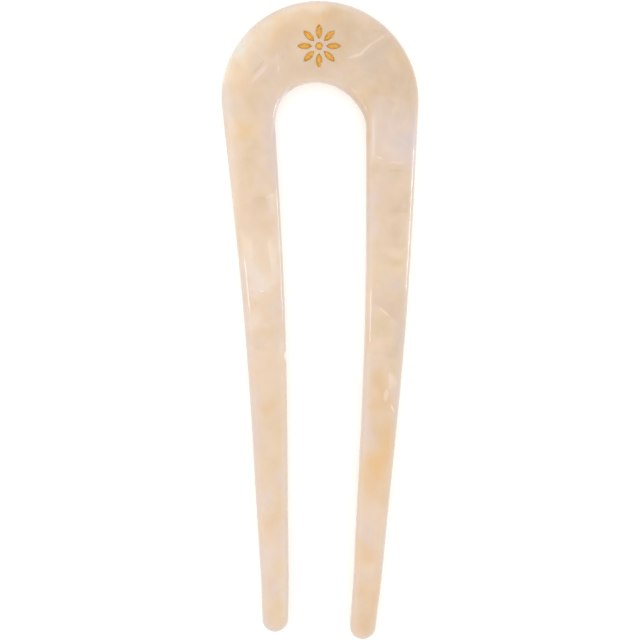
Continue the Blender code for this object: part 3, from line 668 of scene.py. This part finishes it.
def edge_line(top, radius, left, right, tip_radius, left_end, right_end):
    """One edge as tip arc, tangent, top arc, tangent and tip arc, from left_end to right_end.

    With a negative tip_radius the sides touch the tips from within, and both ends point the other way.
    """
    normals, angles = side_normals(top, radius, left, right, tip_radius)
    return np.concatenate((
        arc(left, tip_radius, left_end, angles[0], TIP_STATIONS),
        line(left + tip_radius * normals[0], top + radius * normals[0], SIDE_STATIONS),
        arc(top, radius, angles[0], angles[1], CROWN_STATIONS),
        line(top + radius * normals[1], right + tip_radius * normals[1], SIDE_STATIONS),
        arc(right, tip_radius, angles[1], right_end, TIP_STATIONS, closed=True),
    ))


def edge_pair(sizes, inset):
    """The pin's outer and inner edge at the same stations, both moved into the material by inset.

    Stations run from the end of the left tip up its prong, over the crown and down to the right tip's end.
    The outer edge has the crown for its top arc, and the inner one the arch. Both start and end in the same
    point, where the pin closes: half way between the directions of a prong's two sides.
    """
    crown = np.array((0.0, -sizes.crown_radius))
    arch = np.array((0.0, -sizes.crown_band - sizes.arch_radius))
    low = sizes.tip_radius - PIN_LENGTH
    left = np.array((sizes.tip_lean - sizes.tip_spread / 2, low + sizes.left_shortfall))
    right = np.array((sizes.tip_lean + sizes.tip_spread / 2, low))
    crown_radius, arch_radius = sizes.crown_radius - inset, sizes.arch_radius + inset
    tip_radius = sizes.tip_radius - inset

    _, out_angles = side_normals(crown, crown_radius, left, right, tip_radius)
    _, in_angles = side_normals(arch, arch_radius, left, right, -tip_radius)
    left_end = (out_angles[0] + in_angles[0] + math.pi) / 2
    right_end = (out_angles[1] + in_angles[1] - math.pi) / 2
    outer = edge_line(crown, crown_radius, left, right, tip_radius, left_end, right_end)
    inner = edge_line(arch, arch_radius, left, right, -tip_radius, left_end - math.pi, right_end + math.pi)
    inner[:, 0] += lean_at(sizes, inner[:, 1])
    for edge in (outer, inner):
        edge[:, 0] += bend_at(sizes, edge[:, 1])
    return outer, inner


def flat_face(outer, inner, steps):
    """Points across a flat face between its outer and inner edge, without those on the edges."""
    shares = np.linspace(0.0, 1.0, steps + 1)[None, 1:-1, None]
    return outer[:, None] + shares * (inner - outer)[:, None]


def pin_surface(sizes):
    """The pin as a grid of stations along it by steps round its section, in the pin's frame.

    The section runs over the outer edge's upper quarter ellipse, across the front face, over the inner edge,
    down the inner wall, round the inner lower edge, across the back and up the outer wall. Where a face
    crosses the pin it blends straight from the outer to the inner edge.
    """
    angles = np.linspace(0.0, math.pi / 2, EDGE_STEPS + 1)
    insets = sizes.edge_run * (1.0 - np.sin(angles))
    depths = sizes.edge_drop * (1.0 - np.cos(angles))
    pairs = [edge_pair(sizes, inset) for inset in insets]
    outer = np.stack([pair[0] for pair in pairs], axis=1)
    inner = np.stack([pair[1] for pair in pairs], axis=1)

    top, middle = PIN_THICKNESS, PIN_THICKNESS / 2
    front = flat_face(outer[:, 0], inner[:, 0], FRONT_STEPS)
    back = flat_face(outer[:, 0], inner[:, 0], BACK_STEPS)
    inner_wall, outer_wall = inner[:, -1:], outer[:, -1:]
    upper_half = (outer[:, ::-1], front, inner, inner_wall)
    lower_half = (inner[:, ::-1], back[:, ::-1], outer, outer_wall)
    plan = np.concatenate(upper_half + lower_half, axis=1)
    heights = np.concatenate((
        top - depths[::-1],
        np.full(FRONT_STEPS - 1, top),
        top - depths,
        [middle],
        depths[::-1],
        np.zeros(BACK_STEPS - 1),
        depths,
        [middle],
    ))
    grid = np.empty((*plan.shape[:2], 3))
    low, high = plan.min(axis=(0, 1)), plan.max(axis=(0, 1))
    box = np.array((PIN_HIGH.x - PIN_LOW.x, PIN_LENGTH))
    grid[..., :2] = (plan - (low + high) / 2) * box / (high - low)
    grid[..., 2] = heights[None, :]
    grid[..., 2] *= 1.0 - polish(sizes, grid) / PIN_THICKNESS
    return grid


def polish(sizes, grid):
    """How far polishing lowers the front: crossed sine waves of 9 to 17 mm, from none to the whole dip."""
    x, y = grid[..., 0] / MM, grid[..., 1] / MM
    waves = (
        np.sin(x / 1.9 + 0.35 * np.sin(y / 3.1))
        + np.sin(y / 2.7 + 0.6 * np.sin(x / 2.3) + 1.3)
        + np.sin((x + y) / 1.45 + 0.4)
    )
    return sizes.polish_dip * (0.5 + waves / 6.0)


def mesh_from_grid(name, grid):
    """A mesh of quads over a grid of points whose second parameter closes on itself.

    Points that fall together become one, which closes the poles and the ends.
    """
    stations, steps = grid.shape[:2]
    index = np.arange(stations * steps).reshape(stations, steps)
    after = np.roll(index, -1, axis=1)
    quads = np.stack((index[:-1], after[:-1], after[1:], index[1:]), axis=-1).reshape(-1, 4).tolist()
    mesh = bpy.data.meshes.new(name)
    mesh.from_pydata(grid.reshape(-1, 3).tolist(), [], quads)
    bm = bmesh.new()
    bm.from_mesh(mesh)
    bmesh.ops.remove_doubles(bm, verts=bm.verts, dist=MERGE_DISTANCE)
    bmesh.ops.recalc_face_normals(bm, faces=bm.faces)
    bm.to_mesh(mesh)
    bm.free()
    return mesh


def link_piece(name, mesh, material, nodes, crease):
    """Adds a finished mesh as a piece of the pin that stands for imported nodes."""
    mesh.materials.clear()
    mesh.materials.append(material)
    mesh.shade_smooth()
    mesh.set_sharp_from_angle(angle=crease)
    piece = bpy.data.objects.new(name, mesh)
    bpy.context.scene.collection.objects.link(piece)
    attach(piece, "root")
    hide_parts(*nodes)


def leaf_profile(grow=0.0):
    """Stations along a leaf, from the rosette's middle, and its half width there.

    Both sides are equal arcs that meet in a point at each end. grow moves them outwards.
    """
    start, end = LEAF_LOW.y - ROSETTE_Y, LEAF_HIGH.y - ROSETTE_Y
    half_length, half_width = (end - start) / 2, (LEAF_HIGH.x - LEAF_LOW.x) / 2
    radius = (half_length**2 + half_width**2) / (2 * half_width)
    offset = radius - half_width
    widest = math.acos(offset / (radius + grow))
    angles = np.linspace(-widest, widest, LEAF_STATIONS + 1)
    return start + half_length + (radius + grow) * np.sin(angles), (radius + grow) * np.cos(angles) - offset


def turned(grid, angle):
    """A grid round the rosette's middle, turned anticlockwise and moved to its place on the crown."""
    x, y = grid[..., 0], grid[..., 1]
    out = grid.copy()
    out[..., 0] = x * math.cos(angle) - y * math.sin(angle) + ROSETTE_X
    out[..., 1] = x * math.sin(angle) + y * math.cos(angle) + ROSETTE_Y
    return out


def leaf_surface(sizes):
    """A stamped gold leaf as a grid of stations along it by steps round its section.

    Across the top the height is a Gaussian rib in the middle, a hollow on each side and a Gaussian rim, which
    falls away steeply at the edge. All of it sinks towards the leaf's two points.
    """
    stations, widths = leaf_profile()
    share = np.linspace(-1.0, 1.0, LEAF_STEPS + 1)
    rib = np.exp(-((share / sizes.rib_share) ** 2))
    rim = np.exp(-(((np.abs(share) - RIM_PLACE) / RIM_WIDTH) ** 2))
    relief = HOLLOW_HEIGHT + RIB_HEIGHT * rib + RIM_HEIGHT * rim
    relief *= np.sqrt(np.clip(1.0 - share**EDGE_POWER, 0.0, 1.0))
    relief /= relief.max()
    fullness = (widths / widths.max())[:, None] ** POINT_POWER
    top = PIN_THICKNESS + (LEAF_HIGH.z - PIN_THICKNESS) * relief[None, :] * fullness
    floor = np.full((len(stations), 2), LEAF_LOW.z)
    grid = np.empty((len(stations), LEAF_STEPS + 3, 3))
    grid[:, :-2, 0] = widths[:, None] * share[None, :]
    grid[:, -2, 0] = widths
    grid[:, -1, 0] = -widths
    grid[..., 1] = stations[:, None]
    grid[..., 2] = np.concatenate((top, floor), axis=1)
    return grid


def stud_surface():
    """The gold stud as a grid: its profile of dome, groove, rim, wall and underside by the angle round it."""
    radius = (STUD_HIGH.x - STUD_LOW.x) / 2
    rise = STUD_HIGH.z - PIN_THICKNESS
    share = np.linspace(0.0, 1.0, STUD_STEPS + 1)
    dome = np.sqrt(np.clip(1.0 - share**2, 0.0, 1.0))
    groove = GROOVE_DEPTH * np.exp(-(((share - GROOVE_PLACE) / GROOVE_WIDTH) ** 2))
    height = PIN_THICKNESS + rise * np.clip(dome**DOME_POWER - groove, 0.0, 1.0)
    profile = np.concatenate((share * radius, [radius, 0.0]))
    heights = np.concatenate((height, [STUD_LOW.z, STUD_LOW.z]))
    angles = np.linspace(0.0, FULL_TURN, STUD_STATIONS, endpoint=False)
    grid = np.empty((len(profile), STUD_STATIONS, 3))
    grid[..., 0] = profile[:, None] * np.cos(angles)[None, :]
    grid[..., 1] = profile[:, None] * np.sin(angles)[None, :]
    grid[..., 2] = heights[:, None]
    return grid


def pocket_outlines(sizes):
    """Closed outlines of the pockets, a little wider than the gold, each with the angle that turns it."""
    radius = (STUD_HIGH.x - STUD_LOW.x) / 2 + sizes.side_gap
    stud = arc(np.zeros(2), radius, 0.0, FULL_TURN, STUD_STATIONS)
    stations, widths = leaf_profile(sizes.side_gap)
    right = np.stack((widths[:-1], stations[:-1]), axis=1)
    left = np.stack((-widths[:0:-1], stations[:0:-1]), axis=1)
    leaf = np.concatenate((right, left))
    return [(stud, 0.0)] + [(leaf, FULL_TURN * k / len(LEAF_NODES)) for k in range(len(LEAF_NODES))]


def pocket_cutter(sizes):
    """One mesh of upright prisms, one for each pocket, from the pockets' floor to above the front face."""
    floor, lid = LEAF_LOW.z - sizes.floor_gap, PIN_THICKNESS + MM
    bm = bmesh.new()
    for points, angle in pocket_outlines(sizes):
        flat = np.zeros((len(points), 3))
        flat[:, :2] = points
        flat = turned(flat, angle)
        lower = [bm.verts.new((x, y, floor)) for x, y, _ in flat]
        upper = [bm.verts.new((x, y, lid)) for x, y, _ in flat]
        bm.faces.new(lower)
        bm.faces.new(upper)
        for k in range(len(lower)):
            after = (k + 1) % len(lower)
            bm.faces.new((lower[k], lower[after], upper[after], upper[k]))
    bmesh.ops.recalc_face_normals(bm, faces=bm.faces)
    mesh = bpy.data.meshes.new("pockets")
    bm.to_mesh(mesh)
    bm.free()
    return mesh


def cut_away(mesh, cutter_mesh):
    """The mesh with the cutter's solid taken out of it, by an exact Boolean whose result is kept."""
    body = bpy.data.objects.new("uncut", mesh)
    cutter = bpy.data.objects.new("cutter", cutter_mesh)
    for thing in (body, cutter):
        bpy.context.scene.collection.objects.link(thing)
    cut = body.modifiers.new("pockets", "BOOLEAN")
    cut.operation = "DIFFERENCE"
    cut.solver = "EXACT"
    cut.object = cutter
    bpy.context.view_layer.update()
    evaluated = body.evaluated_get(bpy.context.evaluated_depsgraph_get())
    result = bpy.data.meshes.new_from_object(evaluated)
    for thing in (body, cutter):
        bpy.data.objects.remove(thing)
    return result


def points_of(mesh):
    """A mesh's points as an array."""
    flat = np.empty(len(mesh.vertices) * 3, np.float32)
    mesh.vertices.foreach_get("co", flat)
    return flat.reshape(-1, 3).astype(float)


def drift(x, y):
    """Moves places in the sheet, by up to 1.1 mm each way, so that no cloud is a plain oval."""
    moved = {"x": x, "y": y}
    for wave in named_rows(DRIFT_COLUMNS, DRIFT_WAVES):
        angle = x / wave["across"] + y / wave["along"] + wave["angle"]
        moved[wave["axis"]] = moved[wave["axis"]] + wave["reach"] * np.sin(angle)
    return moved["x"], moved["y"]


def write_chart(mesh, name, rows, x, y, look):
    """Writes a chart of clouds to the mesh as a colour with its cover in the alpha, at the places x and y.

    Each cloud covers as a flat-topped Gaussian of its own oval, and lies over those before it in the chart.
    """
    colour = np.zeros((len(x), 3))
    bare = np.ones(len(x))
    for cloud in named_rows(CLOUD_COLUMNS, rows):
        turn = math.radians(cloud["turn"])
        dx, dy = x - cloud["x"], y - cloud["y"]
        along = (dx * math.cos(turn) + dy * math.sin(turn)) / cloud["half_x"]
        across = (dy * math.cos(turn) - dx * math.sin(turn)) / cloud["half_y"]
        cover = cloud["strength"] * np.exp(-((along**2 + across**2) ** CLOUD_POWER))
        colour += cover[:, None] * (np.array(getattr(look, cloud["tint"])) - colour)
        bare *= 1.0 - cover
    covered = np.maximum(1.0 - bare, 1e-6)
    values = np.concatenate((colour / covered[:, None], covered[:, None]), axis=1)
    layer = mesh.attributes.new(name, "FLOAT_COLOR", "POINT")
    layer.data.foreach_set("color", values.astype(np.float32).ravel())


def write_charts(mesh, look):
    """Writes the clouds, at places that drift, and the tints along the edges, mostly painted light and shade,
    which keep to their places.
    """
    x, y, _ = (points_of(mesh) / MM).T
    write_chart(mesh, "cloud", CLOUDS, *drift(x, y), look)
    write_chart(mesh, "edge", EDGE_TINTS_LIGHT_AND_SHADE, x, y, look)


def fill_sockets(tree, node, sockets):
    """Sets a node's inputs, by name or number, each to a value or to the output linked to it."""
    for key, value in sockets.items():
        if isinstance(value, bpy.types.NodeSocket):
            tree.links.new(value, node.inputs[key])
        else:
            node.inputs[key].default_value = value


def add_node(tree, kind, sockets=None, **settings):
    """Adds one node with its settings and its filled sockets."""
    node = tree.nodes.new(kind)
    for key, value in settings.items():
        setattr(node, key, value)
    fill_sockets(tree, node, sockets or {})
    return node


def new_material(name):
    """An empty node material, its tree and its Principled shader."""
    material = bpy.data.materials.new(name)
    material.use_nodes = True
    tree = material.node_tree
    tree.nodes.clear()
    shader = add_node(tree, "ShaderNodeBsdfPrincipled")
    add_node(tree, "ShaderNodeOutputMaterial", {"Surface": shader.outputs["BSDF"]})
    return material, tree, shader


def rgba(colour):
    """A colour property as four numbers."""
    return (*colour, 1.0)


def mix_colours(tree, factor, first, second):
    """The second colour laid over the first by factor."""
    sockets = {0: factor, MIX_A: first, MIX_B: second}
    return add_node(tree, "ShaderNodeMix", sockets, data_type="RGBA", clamp_factor=True).outputs[MIX_RESULT]


def lay_tint(tree, look, tint, cover, colour):
    """One of the look's tints laid over colour by cover."""
    return mix_colours(tree, cover, colour, rgba(getattr(look, tint)))


def product(tree, first, second):
    """One number times another."""
    return add_node(tree, "ShaderNodeMath", {0: first, 1: second}, operation="MULTIPLY").outputs["Value"]


def vector_math(tree, operation, first, second):
    """A vector put together with a second one or, to scale it, with a number."""
    sockets = {0: first, "Scale" if operation == "SCALE" else 1: second}
    return add_node(tree, "ShaderNodeVectorMath", sockets, operation=operation).outputs["Vector"]


def ramp(tree, value, start, end, low=0.0, high=1.0, soft=False):
    """A number that goes from low to high as value goes from start to end, and no further."""
    sockets = {"Value": value, "From Min": start, "From Max": end, "To Min": low, "To Max": high}
    easing = "SMOOTHSTEP" if soft else "LINEAR"
    return add_node(tree, "ShaderNodeMapRange", sockets, interpolation_type=easing).outputs["Result"]


def noise(tree, places, wave, detail, output="Fac"):
    """Noise whose features are about wave wide, in the unit of places."""
    sockets = {"Vector": places, "Scale": 1.0 / wave, "Detail": detail}
    return add_node(tree, "ShaderNodeTexNoise", sockets).outputs[output]


def object_millimetres(tree):
    """Places on the object, in millimetres."""
    return vector_math(tree, "SCALE", add_node(tree, "ShaderNodeTexCoord").outputs["Object"], 1.0 / MM)


def height_of(tree, places):
    """How high places lie."""
    return add_node(tree, "ShaderNodeSeparateXYZ", {"Vector": places}).outputs["Z"]


def lay_chart(tree, name, share, colour):
    """Lays a chart that the mesh carries over colour, with its cover times share."""
    chart = add_node(tree, "ShaderNodeAttribute", attribute_name=name)
    return mix_colours(tree, product(tree, chart.outputs["Alpha"], share), colour, chart.outputs["Color"])


def mark_frame(tree, places, mark, scale=(1.0, 1.0, 1.0)):
    """Places as a charted mark sees them: from its middle, with X along it, in units of scale."""
    sockets = {
        "Vector": places,
        "Location": (mark["x"], mark["y"], 0.0),
        "Rotation": (0.0, 0.0, math.radians(mark["turn"])),
        "Scale": scale,
    }
    return add_node(tree, "ShaderNodeMapping", sockets, vector_type="TEXTURE").outputs["Vector"]


def add_folds(tree, places, shallow, colour, look):
    """Lays each charted fold over colour: none to the right of its edge, fading over its reach to the left.

    In a fold's own frame its edge runs along X. The cover jumps up across X within 0.2 mm, falls off as Y
    grows to the reach, and dies away towards both ends of the edge. shallow fades all folds with depth.
    """
    for fold in named_rows(FOLD_COLUMNS, FOLDS):
        half_length = fold["half_length"]
        parts = add_node(tree, "ShaderNodeSeparateXYZ", {"Vector": mark_frame(tree, places, fold)})
        along = add_node(tree, "ShaderNodeMath", {0: parts.outputs["X"]}, operation="ABSOLUTE")
        start, end = FOLD_END * half_length, FOLD_FULL * half_length
        ends = ramp(tree, along.outputs["Value"], start, end, high=fold["strength"], soft=True)
        rise = ramp(tree, parts.outputs["Y"], *FOLD_RISE)
        fall = ramp(tree, parts.outputs["Y"], fold["reach"], 0.0, soft=True)
        cover = shallow
        for share in (ends, rise, fall):
            cover = product(tree, cover, share)
        colour = lay_tint(tree, look, fold["tint"], cover, colour)
    return colour


def add_streaks(tree, places, shallow, colour, look):
    """Lays each charted streak over colour: a long thin oval, strongest along its middle.

    shallow fades all streaks with depth.
    """
    for streak in named_rows(STREAK_COLUMNS, STREAKS):
        half_sizes = (streak["half_length"], streak["half_width"], STREAK_DEPTH)
        oval = mark_frame(tree, places, streak, half_sizes)
        radius = add_node(tree, "ShaderNodeVectorMath", {0: oval}, operation="LENGTH").outputs["Value"]
        shade = ramp(tree, radius, STREAK_END, STREAK_FULL, high=streak["strength"], soft=True)
        colour = lay_tint(tree, look, streak["tint"], product(tree, shallow, shade), colour)
    return colour


def make_acetate(look):
    """Polished marbled cellulose acetate: soft clouds and folds of pearl under a clear gloss.

    To the eye it is milky and warm, with pale flakes that end in a crisp edge, and thin white highlights run
    along its rounded edges.
    """
    material, tree, shader = new_material("pearl_acetate")
    places = object_millimetres(tree)

    # The whole marbling wanders from side to side
    wander = noise(tree, places, WANDER_WAVE, 2.0, "Color")
    centred = vector_math(tree, "SUBTRACT", wander, (0.5, 0.5, 0.5))
    bent = vector_math(tree, "ADD", places, vector_math(tree, "SCALE", centred, 2.0 * WANDER_REACH))

    # The random tints, from broad drifts down to small clouds
    colour = rgba(look.cream)
    for mottle in named_rows(MOTTLE_COLUMNS, MOTTLES):
        shifted = vector_math(tree, "ADD", bent, (mottle["seed"],) * 3)
        value = noise(tree, shifted, mottle["wave"], mottle["detail"])
        cover = ramp(tree, value, mottle["start"], mottle["end"], high=mottle["cover"], soft=True)
        colour = lay_tint(tree, look, mottle["tint"], cover, colour)

    # The charted clouds, broken up a little by a finer noise
    fray = ramp(tree, noise(tree, bent, FRAY_WAVE, 3.0), 0.3, 0.6, low=0.6)
    colour = lay_chart(tree, "cloud", fray, colour)

    # Strands of pearl: noise drawn out along the pin, about 1 mm wide and 7 mm long
    drawn_out = add_node(tree, "ShaderNodeMapping", {"Vector": bent, "Scale": (1.0, STRAND_SQUEEZE, 1.0)})
    strand = noise(tree, drawn_out.outputs["Vector"], 1.0 / STRANDS_PER_MM, 2.0)
    cover = ramp(tree, strand, 0.50, 0.80, high=0.22, soft=True)
    colour = lay_tint(tree, look, "mist", cover, colour)

    # Round the edges the colour turns first cooler, then darker: painted light and shade of the rounded edges.
    # Down the wall the sheet's own tints come back.
    front = PIN_THICKNESS / MM
    height = height_of(tree, places)
    shallow = ramp(tree, height, front - FADE_END, front - FADE_START)
    for depth in named_rows(DEPTH_COLUMNS, ROUNDING_LIGHT_AND_SHADE):
        cover = ramp(tree, height, front - depth["start"], front - depth["end"], high=depth["cover"])
        colour = lay_tint(tree, look, depth["tint"], product(tree, cover, shallow), colour)

    # The charted tints along the edges, with their painted light and shade, and the folds and streaks reach no
    # deeper either
    colour = lay_chart(tree, "edge", shallow, colour)
    colour = add_folds(tree, places, shallow, colour, look)
    colour = add_streaks(tree, places, shallow, colour, look)

    # The pearl under the gloss is satin, and its strands tilt it a little
    tilt = add_node(tree, "ShaderNodeBump", {"Height": strand, "Strength": 0.2, "Distance": 0.0002})
    fill_sockets(tree, shader, {
        "Base Color": colour,
        "Roughness": ramp(tree, strand, 0.0, 1.0, low=0.34, high=0.46),
        "Normal": tilt.outputs["Normal"],
        "IOR": ACETATE_IOR,
        "Subsurface Weight": 0.2,
        "Subsurface Radius": (1.0, 0.8, 0.6),
        "Subsurface Scale": 0.8 * MM,
        "Coat Weight": 1.0,
        "Coat Roughness": look.coat_roughness,
        "Coat IOR": ACETATE_IOR,
    })
    return material


def make_gold(look):
    """Gold plate on stamped brass: warm and bright on its ridges, deeper in its hollows as painted shade, and
    mottled at random in tone and roughness.
    """
    material, tree, shader = new_material("gold_plate")
    places = object_millimetres(tree)
    # Painted shade: lower down the gold turns deeper, broken up by a random mottle
    raised = ramp(tree, height_of(tree, places), PIN_THICKNESS / MM, LEAF_HIGH.z / MM)
    mottle = noise(tree, places, 0.5, 3.0)
    share = add_node(tree, "ShaderNodeMath", {0: raised, 1: mottle}, operation="ADD").outputs["Value"]
    cover = ramp(tree, share, 0.5, 1.3)
    fill_sockets(tree, shader, {
        "Base Color": mix_colours(tree, cover, rgba(look.hollow_shade), rgba(look.bright)),
        "Roughness": ramp(tree, mottle, 0.0, 1.0, low=0.16, high=0.38),
        "Metallic": 1.0,
    })
    return material


def make_table(settings):
    """White laminate on a light table: matt, faintly mottled, and glowing enough to keep shadows soft."""
    material, tree, shader = new_material("white_laminate")
    places = add_node(tree, "ShaderNodeTexCoord").outputs["Object"]
    shade = ramp(tree, noise(tree, places, 0.025, 3.0), 0.0, 1.0, high=0.03)
    floor = rgba(settings.floor)
    darker = rgba(0.97 * value for value in settings.floor)
    fill_sockets(tree, shader, {
        "Base Color": mix_colours(tree, shade, floor, darker),
        "Roughness": 0.8,
        "Emission Color": floor,
        "Emission Strength": settings.table_glow,
    })
    return material


class HAIRPIN_OT_pin(bpy.types.Operator):
    """Builds the acetate pin"""

    bl_idname = "hairpin.pin"
    bl_label = "Acetate pin"

    def execute(self, context):
        sizes, look = context.scene.hairpin_sizes, context.scene.hairpin_acetate
        mesh = mesh_from_grid("acetate_pin", pin_surface(sizes))
        mesh = cut_away(mesh, pocket_cutter(context.scene.hairpin_rosette))
        mesh.name = "acetate_pin"
        write_charts(mesh, look)
        link_piece("acetate_pin", mesh, make_acetate(look), ("hair_pin",), PIN_CREASE)
        return {"FINISHED"}


class HAIRPIN_OT_rosette(bpy.types.Operator):
    """Builds the gold stud and the gold leaves round it"""

    bl_idname = "hairpin.rosette"
    bl_label = "Gold rosette"

    def execute(self, context):
        sizes = context.scene.hairpin_rosette
        gold = make_gold(context.scene.hairpin_gold)
        stud = mesh_from_grid("gold_stud", turned(stud_surface(), 0.0))
        link_piece("gold_stud", stud, gold, ("rosette_stud",), GOLD_CREASE)
        for k, node in enumerate(LEAF_NODES):
            grid = turned(leaf_surface(sizes), FULL_TURN * k / len(LEAF_NODES))
            leaf = mesh_from_grid(f"gold_leaf_{k + 1}", grid)
            link_piece(f"gold_leaf_{k + 1}", leaf, gold, (node,), GOLD_CREASE)
        return {"FINISHED"}


class HAIRPIN_OT_stage(bpy.types.Operator):
    """Builds the table top, the lamps and the camera"""

    bl_idname = "hairpin.stage"
    bl_label = "Studio"

    def execute(self, context):
        settings = context.scene.hairpin_stage
        build_table(settings)
        build_lamps(settings)
        build_camera(settings)
        return {"FINISHED"}


def build_table(settings):
    """The table top: a flat square just under the pin."""
    half = TABLE_HALF_WIDTH
    corners = [(x, y, -TABLE_DROP) for x, y in ((-half, -half), (half, -half), (half, half), (-half, half))]
    mesh = bpy.data.meshes.new("table_top")
    mesh.from_pydata(corners, [], [(0, 1, 2, 3)])
    mesh.materials.append(make_table(settings))
    table = bpy.data.objects.new("table_top", mesh)
    bpy.context.scene.collection.objects.link(table)


def build_lamps(settings):
    """Soft white light from all round, a weak panel on each side and strips that only show in the polish."""
    for lamp in named_rows(LAMP_COLUMNS, LAMPS):
        data = bpy.data.lights.new(lamp["name"], "AREA")
        data.shape = "RECTANGLE"
        data.size, data.size_y = lamp["along"], lamp["across"]
        data.energy = lamp["power"]
        data.color = linear(lamp["colour"])
        holder = bpy.data.objects.new(lamp["name"], data)
        holder.location = lamp["place"]
        away = (Vector(lamp["place"]) - Vector(lamp["aim"])).normalized()
        along = Vector((0.0, 1.0, 0.0))
        holder.rotation_euler = Matrix((along, away.cross(along), away)).transposed().to_euler()
        holder.visible_diffuse = lamp["lights"]
        holder.visible_glossy = not lamp["lights"]
        holder.visible_camera = False
        bpy.context.scene.collection.objects.link(holder)
    world = bpy.data.worlds.new("studio")
    world.use_nodes = True
    background = world.node_tree.nodes["Background"]
    background.inputs["Color"].default_value = (1.0, 1.0, 1.0, 1.0)
    background.inputs["Strength"].default_value = settings.sky_strength
    bpy.context.scene.world = world
    bpy.context.scene.view_settings.view_transform = "Standard"


def build_camera(settings):
    """A long lens straight above the pin, with the crown at the top of the picture."""
    data = bpy.data.cameras.new("camera")
    data.sensor_width = FILM_WIDTH
    data.lens = data.sensor_width * settings.camera_height / settings.frame_height
    camera = bpy.data.objects.new("camera", data)
    camera.location = (0.0, 0.0, PIN_THICKNESS / 2 + settings.camera_height)
    bpy.context.scene.collection.objects.link(camera)
    bpy.context.scene.camera = camera


class HAIRPIN_PT_sidebar(bpy.types.Panel):
    """Lists the pieces and their settings"""

    bl_idname = "HAIRPIN_PT_sidebar"
    bl_label = "Hair pin"
    bl_space_type = "VIEW_3D"
    bl_region_type = "UI"
    bl_category = "Hair pin"

    def draw(self, context):
        layout = self.layout
        for group_name, operator in PANEL_ROWS:
            box = layout.box()
            group = getattr(context.scene, group_name)
            for key in group.__annotations__:
                box.prop(group, key)
            if operator:
                box.operator(operator)


GROUPS = {
    "hairpin_sizes": PinSizes,
    "hairpin_acetate": AcetateLook,
    "hairpin_rosette": RosetteSizes,
    "hairpin_gold": GoldLook,
    "hairpin_stage": StageSettings,
}
PANEL_ROWS = (
    ("hairpin_sizes", None),
    ("hairpin_acetate", "hairpin.pin"),
    ("hairpin_rosette", None),
    ("hairpin_gold", "hairpin.rosette"),
    ("hairpin_stage", "hairpin.stage"),
)
CLASSES = (*GROUPS.values(), HAIRPIN_OT_pin, HAIRPIN_OT_rosette, HAIRPIN_OT_stage, HAIRPIN_PT_sidebar)


def register():
    """Registers the classes and hangs each group on the scene."""
    for item in CLASSES:
        bpy.utils.register_class(item)
    for name, group in GROUPS.items():
        setattr(bpy.types.Scene, name, bpy.props.PointerProperty(type=group))


def unregister():
    """Takes back what register did."""
    for name in GROUPS:
        delattr(bpy.types.Scene, name)
    for item in reversed(CLASSES):
        bpy.utils.unregister_class(item)


def main():
    """Builds the pin, its rosette and the studio."""
    register()
    bpy.ops.hairpin.pin()
    bpy.ops.hairpin.rosette()
    bpy.ops.hairpin.stage()


if __name__ == "__main__":
    main()
